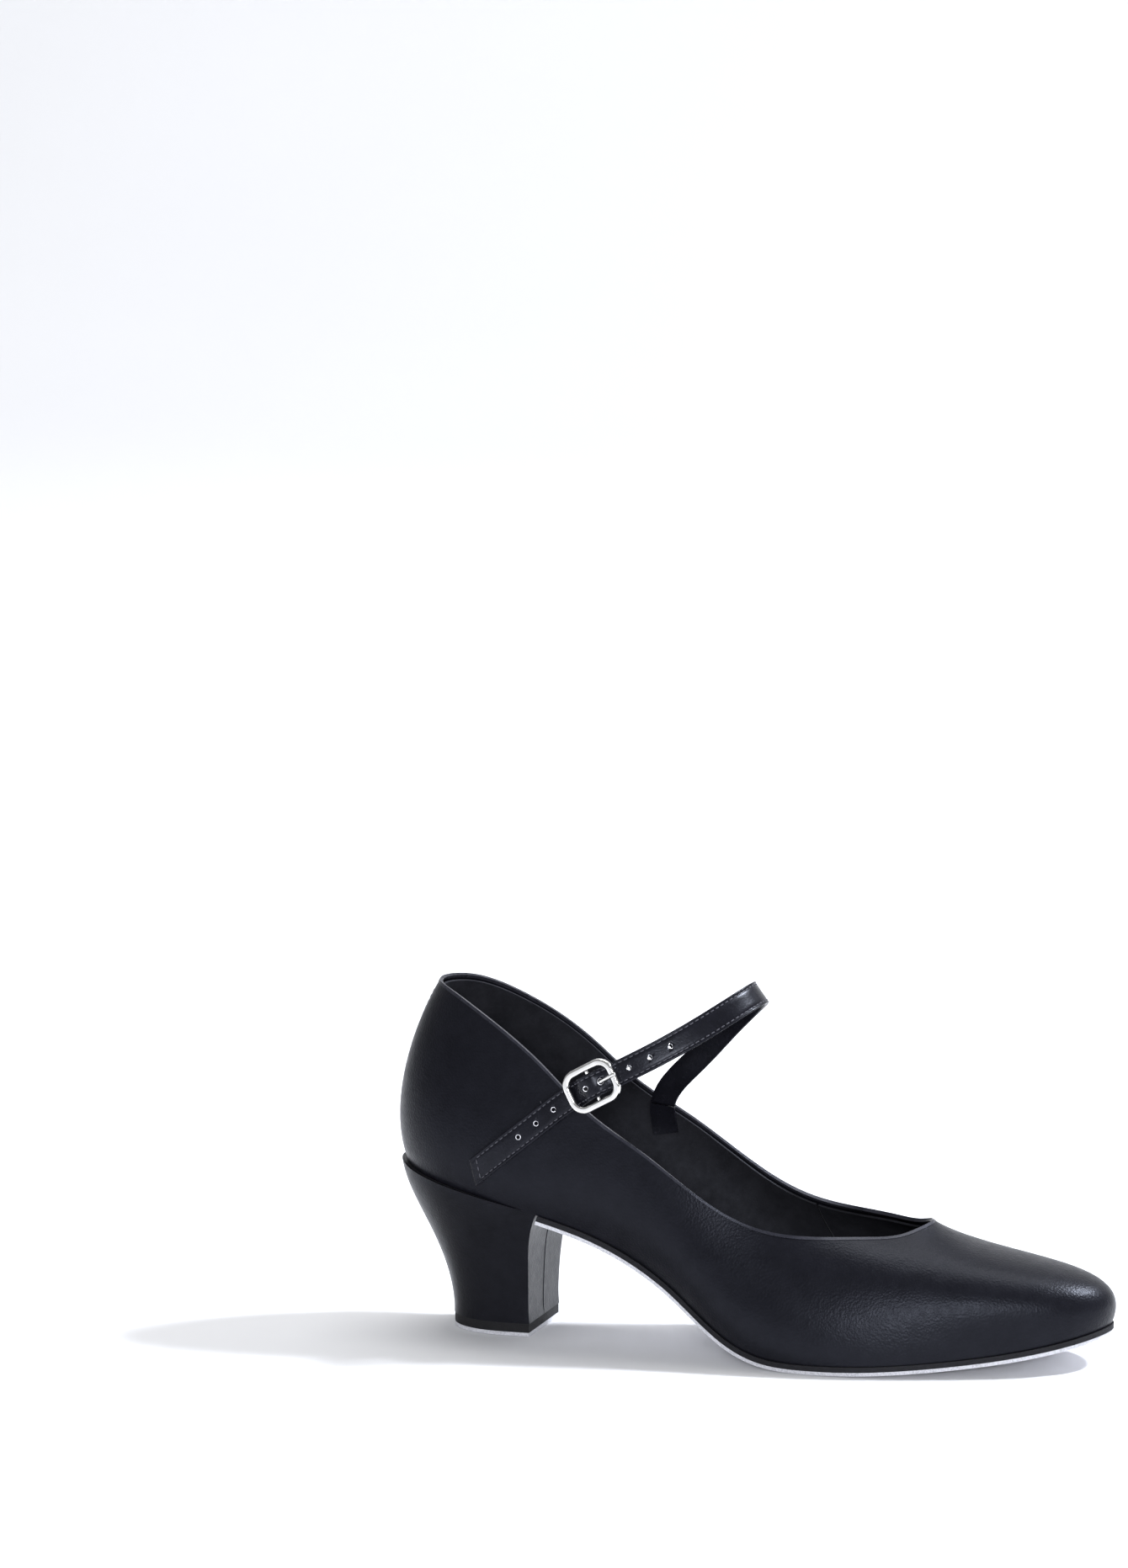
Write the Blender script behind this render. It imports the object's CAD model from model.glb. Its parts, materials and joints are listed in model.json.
"""Looks of a heeled dance shoe for the right foot: leather, suede, stitching, strap, padding and studio.

The shoe points its toe along +X, its outer (buckle) side faces -Y, and it stands on z = 0.
"""

import json
import math

import bmesh
import bpy
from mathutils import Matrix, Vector
from mathutils.bvhtree import BVHTree


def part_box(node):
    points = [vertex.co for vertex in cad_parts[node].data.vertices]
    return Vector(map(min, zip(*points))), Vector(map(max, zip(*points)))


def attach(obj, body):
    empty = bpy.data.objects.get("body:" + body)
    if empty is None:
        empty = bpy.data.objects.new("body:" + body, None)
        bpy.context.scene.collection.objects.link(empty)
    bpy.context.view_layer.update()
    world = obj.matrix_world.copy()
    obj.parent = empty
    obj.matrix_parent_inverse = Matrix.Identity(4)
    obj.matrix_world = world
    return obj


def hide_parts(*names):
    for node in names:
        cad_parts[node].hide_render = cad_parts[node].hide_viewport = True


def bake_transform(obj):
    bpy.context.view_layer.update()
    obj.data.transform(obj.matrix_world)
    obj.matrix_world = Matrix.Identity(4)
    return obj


MM = 0.001
WELD = 1e-6            # corners of neighbouring CAD faces closer than this are one point
CRISP = math.radians(35)
WAVE_LENGTH = 0.314    # length of one wave of the wave texture at a scale of 1

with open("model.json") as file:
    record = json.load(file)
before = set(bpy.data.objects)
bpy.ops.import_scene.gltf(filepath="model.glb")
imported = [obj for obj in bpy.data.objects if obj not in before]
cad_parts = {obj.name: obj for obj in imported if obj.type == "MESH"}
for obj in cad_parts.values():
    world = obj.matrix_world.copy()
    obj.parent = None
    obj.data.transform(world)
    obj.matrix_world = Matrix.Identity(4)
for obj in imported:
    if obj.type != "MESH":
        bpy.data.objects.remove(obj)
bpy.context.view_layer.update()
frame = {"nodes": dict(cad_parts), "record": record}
NODES = frame["nodes"]


# ---------------------------------------------------------------- materials

class Finish:
    """A procedural material: texture nodes feed the colour, the roughness and the bump of one shader."""

    def __init__(self, name, **settings):
        self.material = bpy.data.materials.new(name)
        self.material.use_nodes = True
        self.tree = self.material.node_tree
        self.shader = self.tree.nodes["Principled BSDF"]
        self.place = self.tree.nodes.new("ShaderNodeTexCoord").outputs["Object"]
        for socket, value in settings.items():
            self.shader.inputs[socket.replace("_", " ")].default_value = value

    def link(self, source, target):
        self.tree.links.new(source, target)

    def stretched(self, factors):
        """Object coordinates scaled by different factors along X, Y and Z."""
        node = self.tree.nodes.new("ShaderNodeMapping")
        node.inputs["Scale"].default_value = factors
        self.link(self.place, node.inputs["Vector"])
        return node.outputs["Vector"]

    def noise(self, size, detail=4.0, roughness=0.55, place=None):
        """Cloudy noise whose blotches are about size millimetres across."""
        node = self.tree.nodes.new("ShaderNodeTexNoise")
        node.inputs["Scale"].default_value = 1 / (size * MM)
        node.inputs["Detail"].default_value = detail
        node.inputs["Roughness"].default_value = roughness
        self.link(place or self.place, node.inputs["Vector"])
        return node.outputs["Fac"]

    def pebbles(self, size, place=None):
        """Distance to the middle of irregular cells about size millimetres across."""
        node = self.tree.nodes.new("ShaderNodeTexVoronoi")
        node.feature = "SMOOTH_F1"
        node.inputs["Scale"].default_value = 1 / (size * MM)
        node.inputs["Smoothness"].default_value = 0.6
        self.link(place or self.place, node.inputs["Vector"])
        return node.outputs["Distance"]

    def ramp(self, source, low, high, start=0.3, end=0.7):
        """Colours running from low to high as source goes from start to end."""
        node = self.tree.nodes.new("ShaderNodeValToRGB")
        for stop, place, colour in zip(node.color_ramp.elements, (start, end), (low, high)):
            stop.position = place
            stop.color = (*colour, 1)
        self.link(source, node.inputs["Fac"])
        return node.outputs["Color"]

    def level(self, source, low, high, start=0.3, end=0.7):
        """A plain number running from low to high as source goes from start to end."""
        node = self.tree.nodes.new("ShaderNodeMapRange")
        for socket, value in zip(("From Min", "From Max", "To Min", "To Max"), (start, end, low, high)):
            node.inputs[socket].default_value = value
        self.link(source, node.inputs["Value"])
        return node.outputs["Result"]

    def colour(self, source):
        self.link(source, self.shader.inputs["Base Color"])

    def gloss(self, source, smooth, rough, start=0.3, end=0.7):
        self.link(self.level(source, smooth, rough, start, end), self.shader.inputs["Roughness"])

    def bump(self, height, depth, strength=1.0, under=None):
        """Relief of depth millimetres, laid over an earlier relief if there is one."""
        node = self.tree.nodes.new("ShaderNodeBump")
        node.inputs["Strength"].default_value = strength
        node.inputs["Distance"].default_value = depth * MM
        self.link(height, node.inputs["Height"])
        if under is not None:
            self.link(under, node.inputs["Normal"])
        self.link(node.outputs["Normal"], self.shader.inputs["Normal"])
        return node.outputs["Normal"]


def leather(name, dark, light, grain, smooth, rough, relief, coat=0.0, shine=0.14):
    """Dyed leather: pebbles of grain millimetres, uneven dye, and a polish from smooth to rough."""
    finish = Finish(name, Specular_IOR_Level=shine, Specular_Tint=(0.80, 0.85, 1.0, 1),
                    Coat_Weight=coat, Coat_Roughness=0.28)
    finish.colour(finish.ramp(finish.noise(9, 6, 0.7), dark, light))
    finish.gloss(finish.noise(3.2, 5, 0.65), smooth, rough)
    fold = finish.bump(finish.noise(7, 3, 0.5), relief * 1.5, 0.35)
    pores = finish.bump(finish.pebbles(grain), relief, 0.7, fold)
    finish.bump(finish.noise(grain * 0.3, 2, 0.6), relief * 0.4, 0.6, pores)
    return finish.material


def suede(name, dark, light):
    """Brushed split leather: pale nap with darker specks and brushed streaks."""
    finish = Finish(name, Sheen_Weight=0.35, Sheen_Roughness=0.6, Specular_IOR_Level=0.2)
    specks = finish.noise(0.55, 6, 0.75)
    finish.colour(finish.ramp(specks, dark, light, 0.36, 0.56))
    finish.gloss(specks, 0.82, 0.95)
    brushed = finish.bump(finish.noise(2.2, 3, 0.6, finish.stretched((0.35, 1.6, 1.0))), 0.10, 0.4)
    finish.bump(specks, 0.14, 0.8, brushed)
    return finish.material


def fibre(name, dark, light, size, relief=0.15, streaks=(1, 1, 1)):
    """Matt layered or fibrous stuff, such as board, cork, felted stiffener or a trimmed sole edge."""
    finish = Finish(name, Specular_IOR_Level=0.25)
    place = finish.stretched(streaks)
    grain = finish.noise(size, 7, 0.75, place)
    finish.colour(finish.ramp(grain, dark, light, 0.35, 0.65))
    finish.gloss(grain, 0.55, 0.85)
    finish.bump(grain, relief, 0.8)
    return finish.material


def woven(name, dark, light, pitch):
    """Weave of threads pitch millimetres apart: two crossing waves, the last of which tints it."""
    finish = Finish(name, Sheen_Weight=0.2, Specular_IOR_Level=0.25)
    under = None
    for direction in ("X", "Z"):
        node = finish.tree.nodes.new("ShaderNodeTexWave")
        node.bands_direction = direction
        node.inputs["Scale"].default_value = WAVE_LENGTH / (pitch * MM)
        node.inputs["Distortion"].default_value = 1.2
        finish.link(finish.place, node.inputs["Vector"])
        under = finish.bump(node.outputs["Fac"], 0.12, 0.6, under)
        finish.colour(finish.ramp(node.outputs["Fac"], dark, light, 0.1, 0.9))
    finish.gloss(finish.noise(1.0), 0.6, 0.85)
    return finish.material


def metal(name, dark, light, smooth, rough, scratch=0.012, streaks=(1, 1, 1)):
    """Plated or plain metal with fine wiping marks and a slightly uneven tint."""
    finish = Finish(name, Metallic=1.0)
    marks = finish.noise(0.8, 6, 0.7, finish.stretched(streaks))
    finish.colour(finish.ramp(finish.noise(4, 3), dark, light))
    finish.gloss(marks, smooth, rough)
    finish.bump(marks, scratch, 0.5)
    return finish.material


def painted(name, dark, light, smooth, rough, size=1.2, relief=0.05):
    """Moulded or painted smooth stuff with a faint mottle and orange peel."""
    finish = Finish(name, Specular_IOR_Level=0.45)
    mottle = finish.noise(size, 5, 0.6)
    finish.colour(finish.ramp(mottle, dark, light))
    finish.gloss(mottle, smooth, rough)
    finish.bump(mottle, relief, 0.5)
    return finish.material


def foam(name, dark, light):
    """Open-cell latex: soft cream with small pores."""
    finish = Finish(name, Subsurface_Weight=0.1, Specular_IOR_Level=0.2)
    cells = finish.pebbles(0.7)
    finish.colour(finish.ramp(cells, dark, light, 0.05, 0.5))
    finish.gloss(cells, 0.75, 0.95, 0.0, 0.6)
    finish.bump(cells, 0.2, 0.8)
    return finish.material


FINISHES = {
    "upper_leather": leather("upper_leather", (0.0045, 0.0045, 0.0065), (0.0075, 0.0075, 0.0105),
                             grain=0.75, smooth=0.29, rough=0.40, relief=0.10),
    "edge_leather": leather("edge_leather", (0.012, 0.012, 0.016), (0.030, 0.030, 0.038),
                            grain=0.5, smooth=0.22, rough=0.36, relief=0.05, shine=0.25),
    "heel_leather": leather("heel_leather", (0.0045, 0.0045, 0.0060), (0.0080, 0.0080, 0.0105),
                            grain=0.7, smooth=0.30, rough=0.40, relief=0.06),
    "strap_leather": leather("strap_leather", (0.0045, 0.0045, 0.0065), (0.0090, 0.0090, 0.0130),
                             grain=0.55, smooth=0.20, rough=0.32, relief=0.05, coat=0.1),
    "lining": leather("lining", (0.010, 0.010, 0.012), (0.022, 0.022, 0.026),
                      grain=0.5, smooth=0.50, rough=0.70, relief=0.08),
    "sock": leather("sock", (0.012, 0.012, 0.014), (0.028, 0.028, 0.032),
                    grain=0.8, smooth=0.50, rough=0.70, relief=0.08),
    "stiffener": woven("stiffener", (0.030, 0.030, 0.034), (0.070, 0.070, 0.078), 0.5),
    "board": fibre("board", (0.030, 0.028, 0.026), (0.065, 0.060, 0.056), 0.8),
    "foam": foam("foam", (0.62, 0.59, 0.50), (0.84, 0.81, 0.73)),
    "cork": fibre("cork", (0.36, 0.22, 0.12), (0.66, 0.47, 0.29), 1.6, 0.3),
    "spring_steel": metal("spring_steel", (0.34, 0.36, 0.40), (0.50, 0.51, 0.54), 0.22, 0.40,
                          scratch=0.02, streaks=(0.2, 1, 1)),
    "sole_edge": fibre("sole_edge", (0.003, 0.003, 0.004), (0.018, 0.018, 0.022), 0.9,
                       relief=0.35, streaks=(0.5, 0.5, 2.5)),
    "suede": suede("suede", (0.40, 0.40, 0.43), (0.66, 0.66, 0.70)),
    "heel_core": painted("heel_core", (0.016, 0.016, 0.018), (0.030, 0.030, 0.034), 0.35, 0.50),
    "tip_rubber": fibre("tip_rubber", (0.005, 0.005, 0.006), (0.016, 0.016, 0.018), 0.5, 0.08),
    "zinc": metal("zinc", (0.48, 0.49, 0.51), (0.66, 0.67, 0.69), 0.28, 0.45),
    "nickel": metal("nickel", (0.70, 0.69, 0.67), (0.86, 0.85, 0.83), 0.07, 0.16, 0.006),
    "elastic": woven("elastic", (0.010, 0.010, 0.012), (0.035, 0.035, 0.040), 0.35),
    "thread": fibre("thread", (0.030, 0.030, 0.038), (0.120, 0.120, 0.140), 0.18, 0.05),
    "hole_rim": metal("hole_rim", (0.45, 0.45, 0.48), (0.80, 0.80, 0.84), 0.22, 0.40),
}


def dress(thing, finish):
    """Gives a piece or CAD node one finish."""
    thing.data.materials.clear()
    thing.data.materials.append(FINISHES[finish])


for subpart in frame["record"]["subparts"]:
    dress(NODES[subpart["node"]], subpart["material_slot"])


# ---------------------------------------------------------------- lines and surfaces of the CAD nodes

def welded(node):
    """A scratch mesh of a CAD node with its faces joined up."""
    mesh = bmesh.new()
    mesh.from_mesh(NODES[node].data)
    bmesh.ops.remove_doubles(mesh, verts=mesh.verts, dist=WELD)
    return mesh


def crisp_lines(node):
    """The lines of crisp edges on a CAD node as lists of points, longest first."""
    mesh = welded(node)
    crisp = {e for e in mesh.edges if len(e.link_faces) == 2 and e.calc_face_angle(0) > CRISP}
    lines = []
    left = set(crisp)
    while left:
        start = left.pop()
        run = list(start.verts)
        for _ in range(2):
            while True:
                tip = run[-1]
                here = [e for e in tip.link_edges if e in crisp]
                onward = [e for e in here if e in left]
                if len(here) != 2 or not onward:
                    break
                left.discard(onward[0])
                run.append(onward[0].other_vert(tip))
            run.reverse()
        lines.append([v.co.copy() for v in run])
    mesh.free()
    return sorted(lines, key=line_length, reverse=True)


def line_length(line):
    return sum((b - a).length for a, b in zip(line, line[1:]))


def even_points(line, count):
    """count points spread evenly along a line, its ends among them."""
    step = line_length(line) / (count - 1)
    points = [line[0].copy()]
    due = step
    for a, b in zip(line, line[1:]):
        span = (b - a).length
        while due <= span and len(points) < count - 1:
            points.append(a.lerp(b, due / span))
            due += step
        due -= span
    points.append(line[-1].copy())
    return points


def surface(node):
    """A CAD node's surface, ready for rays."""
    mesh = welded(node)
    tree = BVHTree.FromBMesh(mesh)
    mesh.free()
    return tree


def drawn_on(tree, points, direction):
    """Points dropped onto a surface along a direction, each with the normal there."""
    found = []
    for point in points:
        place, normal, _, _ = tree.ray_cast(point, direction)
        if place is not None:
            found.append((place, normal))
    return found


# ---------------------------------------------------------------- making pieces

def piece(name, vertices, faces, finish, body, smooth=True):
    """A new mesh piece; it rides on a CAD body, unless body is None because it bends between two."""
    data = bpy.data.meshes.new(name)
    data.from_pydata(vertices, [], faces)
    data.validate()
    scratch = bmesh.new()
    scratch.from_mesh(data)
    bmesh.ops.recalc_face_normals(scratch, faces=scratch.faces)
    scratch.to_mesh(data)
    scratch.free()
    for face in data.polygons:
        face.use_smooth = smooth
    thing = bpy.data.objects.new(name, data)
    bpy.context.scene.collection.objects.link(thing)
    dress(thing, finish)
    if body:
        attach(thing, body)
    return thing


def rings_to_faces(rings, sides, closed, first=0):
    """Faces of a skin over rings of points, with both ends capped unless the rings close on themselves."""
    faces = []
    spans = rings if closed else rings - 1
    for r in range(spans):
        a = first + r * sides
        b = first + (r + 1) % rings * sides
        for s in range(sides):
            t = (s + 1) % sides
            faces.append((a + s, a + t, b + t, b + s))
    if not closed:
        faces.append(tuple(first + s for s in reversed(range(sides))))
        faces.append(tuple(first + (rings - 1) * sides + s for s in range(sides)))
    return faces


def directions(points, closed=False):
    """Unit direction of a line at each of its points."""
    last = len(points) - 1
    found = []
    for i in range(len(points)):
        before = points[(i - 1) % len(points)] if closed else points[max(i - 1, 0)]
        after = points[(i + 1) % len(points)] if closed else points[min(i + 1, last)]
        found.append((after - before).normalized())
    return found


def bead(name, marks, width, height, finish, body, closed=False, sides=10, sink=0.3, taper=0):
    """A rounded bead lying on a surface along marks (point, normal); sizes in metres.

    sink is the share of its height that lies under the surface, and taper the number of rings
    over which each end narrows to a point.
    """
    points = [m[0] for m in marks]
    vertices = []
    for i, (along, (place, normal)) in enumerate(zip(directions(points, closed), marks)):
        across = along.cross(normal).normalized()
        up = across.cross(along).normalized()
        share = 1.0
        if taper:
            share = min(1.0, 0.12 + min(i, len(marks) - 1 - i) / taper)
        for s in range(sides):
            turn = 2 * math.pi * s / sides
            out = across * (math.cos(turn) * width / 2 * share)
            lift = up * ((math.sin(turn) / 2 + 0.5 - sink) * height * share)
            vertices.append(place + out + lift)
    faces = rings_to_faces(len(marks), sides, closed)
    return piece(name, vertices, faces, finish, body)


STITCH_RINGS = ((-0.5, 0.25), (-0.42, 0.8), (-0.15, 1.0), (0.15, 1.0), (0.42, 0.8), (0.5, 0.25))
STITCH_SIDES = 6


def stitches(name, rows, body, pitch=2.5 * MM, share=0.66, thread=0.34 * MM, finish="thread"):
    """Rows of thread stitches lying on a surface; each row is a list of (point, normal) marks."""
    vertices = []
    faces = []
    for row in rows:
        points = [m[0] for m in row]
        count = max(1, round(line_length(points) / pitch))
        ends = even_points(points, count + 1)
        for a, b in zip(ends, ends[1:]):
            middle = a.lerp(b, 0.5)
            nearest = min(row, key=lambda m: (m[0] - middle).length_squared)
            along = (b - a).normalized()
            across = along.cross(nearest[1]).normalized()
            up = across.cross(along)
            span = (b - a).length * share
            first = len(vertices)
            for place, size in STITCH_RINGS:
                for s in range(STITCH_SIDES):
                    turn = 2 * math.pi * s / STITCH_SIDES
                    round_out = across * math.cos(turn) + up * (math.sin(turn) + 0.25)
                    vertices.append(middle + along * (place * span) + round_out * (thread / 2 * size))
            faces += rings_to_faces(len(STITCH_RINGS), STITCH_SIDES, False, first)
    return piece(name, vertices, faces, finish, body)


# ---------------------------------------------------------------- strap

STRAP_STATIONS = 260
# Across the strap's face from one edge (0) to the other (1), with the depth under the CAD face
# in millimetres: a rolled edge, the groove that the stitches lie in, and the raised middle.
STRAP_FACE = (
    (0.000, 0.32), (0.012, 0.15), (0.035, 0.03), (0.062, 0.02), (0.092, 0.14), (0.128, 0.34),
    (0.164, 0.15), (0.210, 0.05), (0.300, 0.02), (0.420, 0.00), (0.500, 0.00),
)
LINING_FACE = ((0.006, 0.34), (0.020, 0.12), (0.050, 0.02), (0.300, 0.0), (0.500, 0.0))
STITCH_ACROSS = 0.128
STITCH_DEPTH = 0.24 * MM
STITCH_START = 4        # the station where the sewing starts, just inside the tail's end
HOLE_SIDES = 28
PUNCH_REACH = 3 * MM    # the punch reaches this far either way of the face
RING_POINTS = 20        # a hole's edge has at least this many points,
RING_GAP = 0.5 * MM     # and its ends are no farther apart than this
SAME_HOLE = 1.6 * MM    # rings closer than this belong to one hole
RIM_SHIFT = 0.02 * MM   # the rim lies this far outside the hole's wall and under the face
RIM_WIDTH = 0.34 * MM
RIM_HEIGHT = 0.24 * MM


def whole_profile(half):
    """Both halves of a face profile that is the same from either edge."""
    return list(half) + [(1 - across, depth) for across, depth in reversed(half[:-1])]


def corner_lines(node):
    """The four long crisp lines of a band: outer back, outer front, inner back and inner front.

    The outer lines lie farther from the shoe's middle at the medial end, where the back line
    comes first along X. All of them run from the tail to the medial end.
    """
    lines = crisp_lines(node)[:4]
    for line in lines:
        if line[0].y > line[-1].y:
            line.reverse()
    by_side = sorted(lines, key=lambda line: -line[-1].y)
    outer = sorted(by_side[:2], key=lambda line: line[-1].x)
    inner = sorted(by_side[2:], key=lambda line: line[-1].x)
    return [even_points(line, STRAP_STATIONS) for line in outer + inner]


def band_piece(name, node, outer_half, inner_half, finish):
    """A band with shaped faces and rounded edges, built inside the four corner lines of a CAD band."""
    corners = corner_lines(node)
    outer_profile = whole_profile(outer_half)
    inner_profile = whole_profile(inner_half)
    vertices = []
    for back, front, back_in, front_in in zip(*corners):
        inward = (back_in + front_in - back - front).normalized()
        vertices += [back.lerp(front, s) + inward * (d * MM) for s, d in outer_profile]
        vertices += [front_in.lerp(back_in, s) - inward * (d * MM) for s, d in inner_profile]
    sides = len(outer_profile) + len(inner_profile)
    faces = rings_to_faces(STRAP_STATIONS, sides, False)
    thing = piece(name, vertices, faces, finish, None)
    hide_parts(node)
    return thing


def bend_from_root(thing):
    """Lets a piece of the strap bend where it leaves the shoe's medial side, instead of hinging."""
    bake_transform(thing)


def punched_holes(node, corners):
    """Middle, outward axis and radius of each round hole in a CAD band, on its outer face."""
    centre_line = [back.lerp(front, 0.5) for back, front in zip(corners[0], corners[1])]
    outward = [mark[1] for mark in face_marks(corners, 0.5, 0)]
    holes = []
    for ring in crisp_lines(node)[4:]:
        if len(ring) < RING_POINTS or (ring[0] - ring[-1]).length > RING_GAP:
            continue
        middle = sum(ring, Vector()) / len(ring)
        radius = sum((point - middle).length for point in ring) / len(ring)
        station = min(range(STRAP_STATIONS), key=lambda i: (centre_line[i] - middle).length_squared)
        height = (middle - centre_line[station]).dot(outward[station])
        holes.append((height, middle, outward[station], radius))
    holes.sort(key=lambda hole: -hole[0])
    kept = []
    for _, middle, axis, radius in holes:
        if all((middle - other[0]).length > SAME_HOLE for other in kept):
            kept.append((middle, axis, radius))
    return kept


def face_marks(corners, across, depth, start=0, end=None):
    """Marks (point, normal) along the outer face of a band, a share of the way across it."""
    marks = []
    for back, front, back_in, front_in in list(zip(*corners))[start:end]:
        outward = (back + front - back_in - front_in).normalized()
        marks.append((back.lerp(front, across) - outward * depth, outward))
    return marks


def cross_marks(corners, station, margin, depth):
    """Marks across the outer face of a band at one station."""
    back, front, back_in, front_in = [line[station] for line in corners]
    outward = (back + front - back_in - front_in).normalized()
    shares = [margin + (1 - 2 * margin) * i / 8 for i in range(9)]
    return [(back.lerp(front, s) - outward * depth, outward) for s in shares]


def circle(middle, axis, radius):
    """Points round a circle that is square to its axis."""
    across = axis.orthogonal().normalized()
    upright = axis.cross(across)
    turns = [2 * math.pi * s / HOLE_SIDES for s in range(HOLE_SIDES)]
    return [middle + (across * math.cos(turn) + upright * math.sin(turn)) * radius for turn in turns]


def punch(thing, holes):
    """Cuts round holes (middle, axis, radius) through a band."""
    vertices = []
    faces = []
    for middle, axis, radius in holes:
        first = len(vertices)
        for reach in (-PUNCH_REACH, PUNCH_REACH):
            vertices += circle(middle + axis * reach, axis, radius)
        faces += rings_to_faces(2, HOLE_SIDES, False, first)
    cutter = piece(thing.name + "_cutter", vertices, faces, "thread", "strap", smooth=False)
    cut = thing.modifiers.new("punched", "BOOLEAN")
    cut.operation = "DIFFERENCE"
    cut.solver = "MANIFOLD"
    cut.object = cutter
    bake(thing)
    bpy.data.objects.remove(cutter)


def bake(thing):
    """Applies a piece's modifiers to its mesh."""
    bpy.context.view_layer.update()
    graph = bpy.context.evaluated_depsgraph_get()
    data = bpy.data.meshes.new_from_object(thing.evaluated_get(graph))
    thing.modifiers.clear()
    thing.data = data


def dress_strap():
    """The strap's two plies in place of the CAD bands, with punched holes, hole rims and sewing."""
    corners = corner_lines("strap")
    top = band_piece("strap_top", "strap", STRAP_FACE, LINING_FACE, "strap_leather")
    under = band_piece("strap_underside", "strap_lining", LINING_FACE, LINING_FACE, "strap_leather")
    holes = punched_holes("strap", corners)
    for ply in (top, under):
        punch(ply, holes)
        bend_from_root(ply)
    for number, (middle, axis, radius) in enumerate(holes, start=1):
        ring = circle(middle - axis * RIM_SHIFT, axis, radius + RIM_SHIFT)
        rim = [(point, axis) for point in ring]
        bead(f"strap_hole_rim_{number}", rim, RIM_WIDTH, RIM_HEIGHT, "hole_rim", "strap",
             closed=True, sides=8, sink=0.6)
    rows = [face_marks(corners, across, STITCH_DEPTH, STITCH_START, STRAP_STATIONS - 2)
            for across in (STITCH_ACROSS, 1 - STITCH_ACROSS)]
    rows.append(cross_marks(corners, STITCH_START, STITCH_ACROSS, 0.0))
    sewing = stitches("strap_stitching", rows, None, pitch=2.1 * MM, thread=0.42 * MM)
    bend_from_root(sewing)


# ---------------------------------------------------------------- seams and sewing on the upper

AWAY = 30 * MM          # rays start this far outside a node's box
AWAY_BEHIND = 20 * MM   # and this far behind the upper
SEAM_DROP = 2.6 * MM    # the back seam ends this far under the collar's top
SEAM_STEPS = 60
ANCHOR_STEPS = 12
ANCHOR_HALF = 3.3 * MM  # half the width of the strap anchor's cross rows
BREAST_STEPS = 40


def spread(start, end, steps):
    """Numbers spread evenly from start to end, both among them."""
    return [start + (end - start) * i / steps for i in range(steps + 1)]


def dress_upper():
    """Everything sewn on the upper."""
    upper = surface("upper_outer")
    low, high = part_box("upper_outer")
    sew_back_seam(upper, low)
    sew_strap_anchor(upper, high)
    tack_buckle_tab(upper, low)


def sew_back_seam(upper, low):
    """A closed seam up the counter, from the heel seat to under the collar, sewn on both sides."""
    seam_y = sum(corner.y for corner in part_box("heel_counter")) / 2
    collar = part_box("topline_binding")[1].z - SEAM_DROP
    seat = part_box("heel_cover")[1].z
    forward = Vector((1, 0, 0))
    starts = [Vector((low.x - AWAY_BEHIND, seam_y, z)) for z in spread(seat, collar, SEAM_STEPS)]
    marks = drawn_on(upper, starts, forward)
    bead("back_seam", marks, 1.1 * MM, 0.30 * MM, "upper_leather", "root",
         taper=3, sink=0.5)
    for side, label in ((-1, "lateral"), (1, "medial")):
        beside = Vector((0, side * 1.5 * MM, 0))
        row = drawn_on(upper, [point + beside for point in starts[1:-1]], forward)
        stitches("back_seam_stitching_" + label, [row], "root", pitch=2.3 * MM, thread=0.26 * MM)


def sew_strap_anchor(upper, high):
    """Medial anchor of the strap: an arrowhead of stitches under a double cross row."""
    low_stay, high_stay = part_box("strap_stay")
    middle = (low_stay.x + high_stay.x) / 2 - 0.2 * MM
    left = middle - ANCHOR_HALF
    right = middle + ANCHOR_HALF
    top = high_stay.z - 2.2 * MM
    second = top - 1.3 * MM
    tip = low_stay.z + 0.2 * MM
    rows = []
    for (x0, z0), (x1, z1) in (((left, top), (right, top)), ((left, second), (right, second)),
                               ((left, second), (middle, tip)), ((right, second), (middle, tip))):
        points = [Vector((x, high.y + AWAY, z))
                  for x, z in zip(spread(x0, x1, ANCHOR_STEPS), spread(z0, z1, ANCHOR_STEPS))]
        rows.append(drawn_on(upper, points, Vector((0, -1, 0))))
    stitches("strap_anchor_stitching", long_enough(rows), "root", pitch=1.6 * MM, thread=0.32 * MM)


def tack_buckle_tab(upper, low):
    """Three short bars of tacking through the lateral quarter, over the buckle's tab."""
    low_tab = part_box("buckle_tab")[0]
    bars = []
    for column in range(3):
        x = low_tab.x + (1.0 + 1.3 * column) * MM
        z = low_tab.z + (9.4 - 0.5 * column) * MM
        points = [Vector((x + 0.25 * MM * i, low.y - AWAY, z - 0.5 * MM * i)) for i in range(7)]
        bars.append(drawn_on(upper, points, Vector((0, 1, 0))))
    stitches("buckle_tab_tacks", long_enough(bars), "root", pitch=1.5 * MM, thread=0.34 * MM)


def long_enough(rows):
    """The rows that found the surface at four points or more."""
    return [row for row in rows if len(row) > 3]


def dress_heel():
    """A raised line along the closed seam down the middle of the heel's breast."""
    cover = surface("heel_cover")
    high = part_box("heel_cover")[1]
    gap = min(crisp_lines("heel_cover"), key=lambda line: abs(line[0].y) + abs(line[-1].y))
    beside = Vector((0, 0.5 * MM, 0))   # rays run beside the gap, so that they meet leather
    low_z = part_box("top_piece")[1].z
    high_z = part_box("outsole_base")[1].z - 1.0 * MM
    starts = [Vector((high.x + AWAY, gap[0].y, z + 0.3 * MM)) - beside
              for z in spread(low_z, high_z, BREAST_STEPS)]
    marks = [(point + beside, normal) for point, normal in drawn_on(cover, starts, Vector((-1, 0, 0)))]
    bead("heel_breast_seam", marks, 0.9 * MM, 0.34 * MM, "heel_leather", "root",
         taper=3, sink=0.5)


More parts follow.
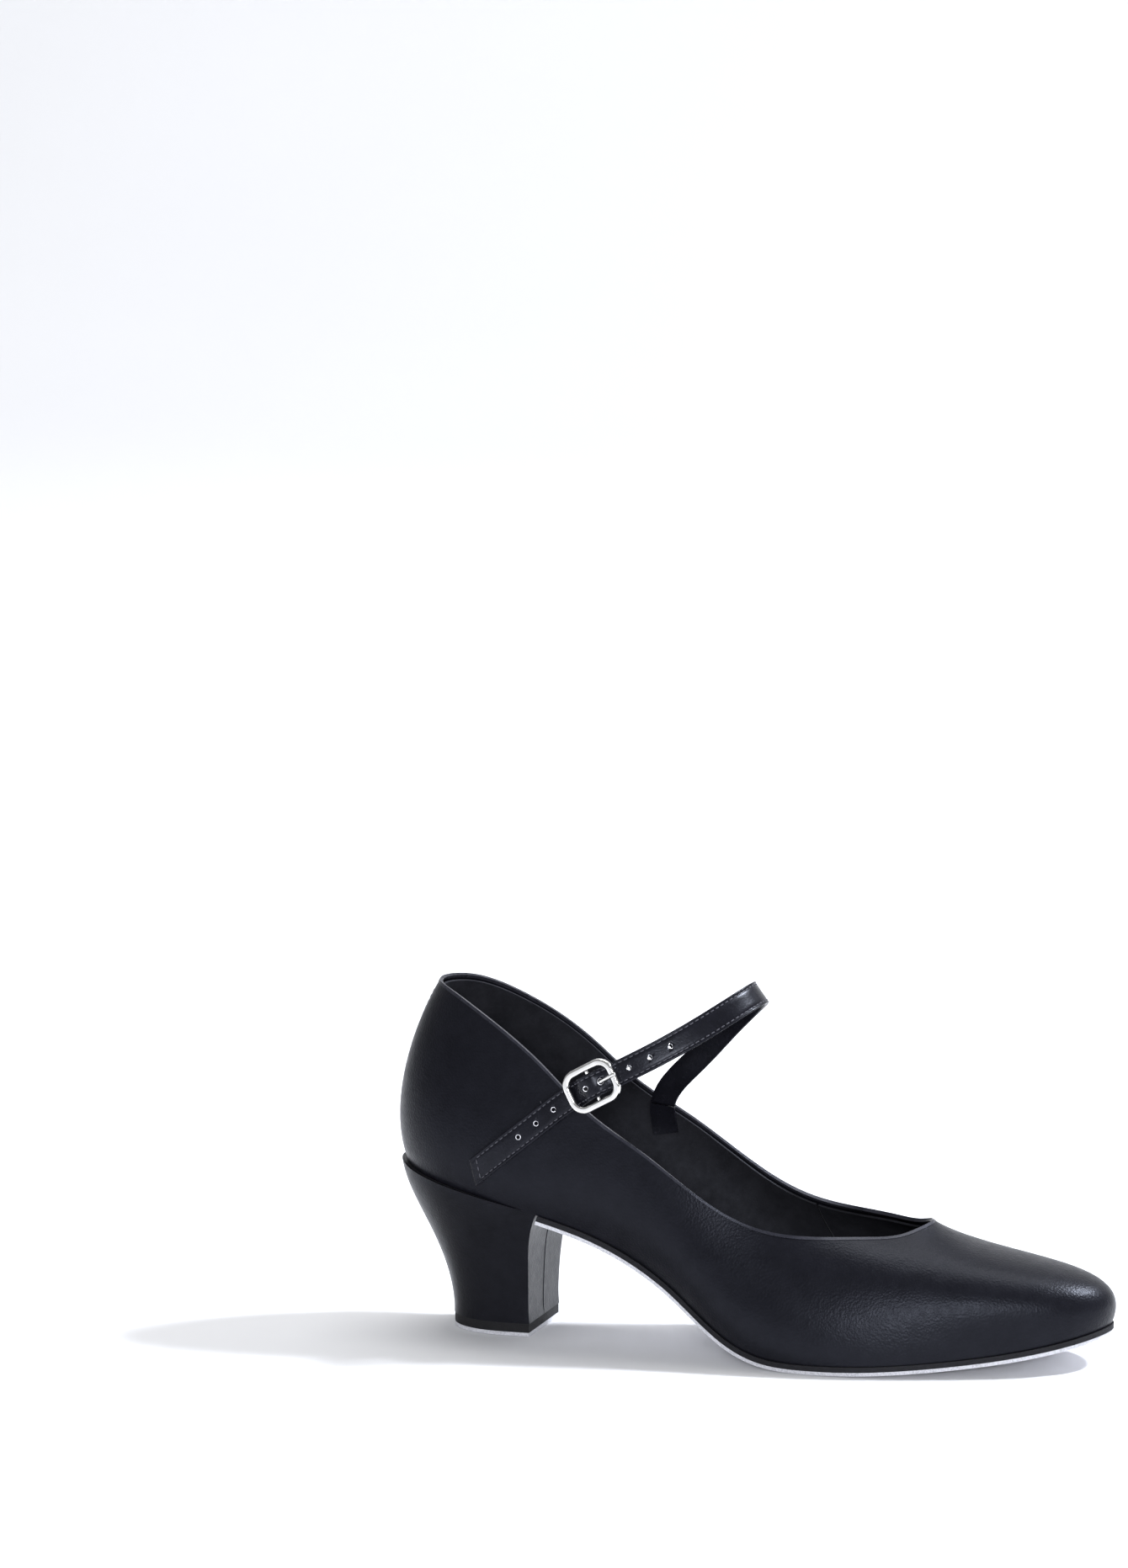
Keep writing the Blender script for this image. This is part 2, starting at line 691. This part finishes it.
def soft_pad():
    """The foam under the sock: the CAD solid's shape with a rounded rim."""
    data = NODES["foam_pad"].data
    vertices = [vertex.co.copy() for vertex in data.vertices]
    faces = [tuple(face.vertices) for face in data.polygons]
    thing = piece("foam_cushion", vertices, faces, "foam", "root")
    weld = thing.modifiers.new("joined", "WELD")
    weld.merge_threshold = WELD
    round_off = thing.modifiers.new("rounded", "BEVEL")
    round_off.width = 0.35 * MM
    round_off.segments = 3
    round_off.limit_method = "ANGLE"
    round_off.angle_limit = CRISP
    bake(thing)
    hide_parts("foam_pad")


dress_strap()
dress_upper()
dress_heel()
soft_pad()


# ---------------------------------------------------------------- studio

AIM = Vector((-0.0673, 0.0, 0.188))
AZIMUTH = math.radians(17.8)
ELEVATION = math.radians(9.9)
DISTANCE = 3.0
LENS = 204.5
FLOOR_HALF = 4.0
FLOOR_DROP = 0.2 * MM   # keeps the paper clear of the shoe's own resting faces


def backdrop():
    """Pale paper that runs along the floor and sweeps up behind the shoe."""
    wall = 3.0
    bend = 0.9
    columns = 13
    floor_step = 0.6
    wall_foot = 1.6
    wall_step = 0.8
    profile = [(-FLOOR_HALF + floor_step * i, 0.0) for i in range(10)]
    profile += [(wall - bend + bend * math.sin(a), bend - bend * math.cos(a))
                for a in spread(0, math.pi / 2, 16)]
    profile += [(wall, wall_foot + wall_step * i) for i in range(3)]
    vertices = [(-FLOOR_HALF + 2 * FLOOR_HALF * c / (columns - 1), y, z - FLOOR_DROP)
                for y, z in profile for c in range(columns)]
    faces = []
    for r in range(len(profile) - 1):
        for c in range(columns - 1):
            a = r * columns + c
            faces.append((a, a + 1, a + columns + 1, a + columns))
    data = bpy.data.meshes.new("backdrop")
    data.from_pydata(vertices, [], faces)
    for face in data.polygons:
        face.use_smooth = True
    paper = bpy.data.objects.new("backdrop", data)
    bpy.context.scene.collection.objects.link(paper)
    finish = Finish("paper", Specular_IOR_Level=0.1)
    finish.colour(finish.ramp(finish.noise(900, 2), (0.86, 0.86, 0.87), (0.90, 0.90, 0.91)))
    finish.gloss(finish.noise(400, 2), 0.85, 0.95)
    data.materials.append(finish.material)


def softbox(name, place, target, width, height, power, colour=(1, 1, 1)):
    """A rectangular light that shines at a target."""
    light = bpy.data.lights.new(name, "AREA")
    light.shape = "RECTANGLE"
    light.size = width
    light.size_y = height
    light.energy = power
    light.color = colour
    lamp = bpy.data.objects.new(name, light)
    lamp.location = place
    lamp.rotation_euler = (Vector(target) - Vector(place)).to_track_quat("-Z", "Y").to_euler()
    bpy.context.scene.collection.objects.link(lamp)


def studio():
    """The paper, the lights and a camera at the photo's angle."""
    backdrop()
    world = bpy.data.worlds.new("studio")
    bpy.context.scene.world = world
    world.use_nodes = True
    sky = world.node_tree.nodes["Background"]
    sky.inputs["Color"].default_value = (0.95, 0.97, 1.0, 1)
    sky.inputs["Strength"].default_value = 0.38
    shoe = (0, 0, 0.05)
    softbox("overhead", (-0.1, 0.35, 1.9), shoe, 1.3, 0.8, 14)
    softbox("toe_light", (1.15, 0.66, 1.55), (0.11, 0, 0.03), 0.25, 0.25, 60, (0.88, 0.92, 1.0))
    softbox("front_strip", (1.05, -3.2, 0.95), (0.07, 0, 0.03), 1.3, 0.35, 60, (0.93, 0.95, 1.0))
    softbox("wall_wash", (0, 1.2, 2.8), (0, 3, 1.2), 4.0, 0.6, 34)

    camera = bpy.data.cameras.new("camera")
    camera.lens = LENS
    camera.sensor_width = 36
    eye = bpy.data.objects.new("camera", camera)
    back = Vector((math.sin(AZIMUTH) * math.cos(ELEVATION), -math.cos(AZIMUTH) * math.cos(ELEVATION),
                   math.sin(ELEVATION)))
    eye.location = AIM + back * DISTANCE
    eye.rotation_euler = (-back).to_track_quat("-Z", "Y").to_euler()
    bpy.context.scene.collection.objects.link(eye)
    bpy.context.scene.camera = eye
    bpy.context.scene.view_settings.view_transform = "Standard"


studio()
